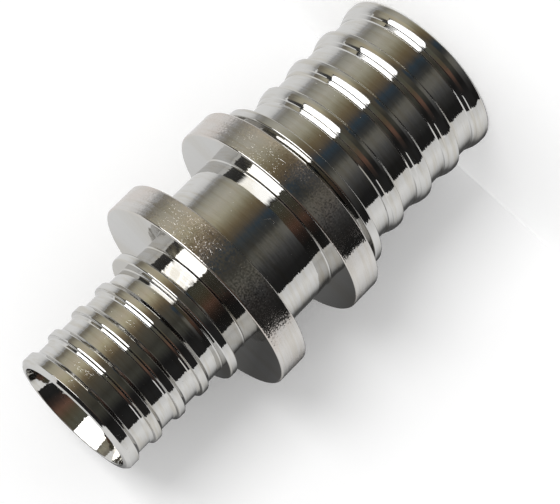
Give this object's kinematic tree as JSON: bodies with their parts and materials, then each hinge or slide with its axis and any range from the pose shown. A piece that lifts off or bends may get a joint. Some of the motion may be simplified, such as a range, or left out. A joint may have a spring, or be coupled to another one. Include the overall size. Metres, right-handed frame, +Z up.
{
  "type": "pex reducing coupling",
  "caption": "Straight reducing coupling with a ribbed spigot at either end, round flanges around a plain waist and an open bore.",
  "frame": {"origin": "centre of the large spigot's end face, which the part stands on", "axes": "+Z up along the bore, from the large spigot's end to the small spigot's end; the part is round, so +X and +Y are free"},
  "size_m": [0.0364, 0.0364, 0.0773],
  "materials": {
    "nickel_plate": "bright nickel plate over turned brass, satin on the flange rims"
  },
  "bodies": {
    "root": {"coupling_body": "nickel_plate"}
  },
  "joints": []
}
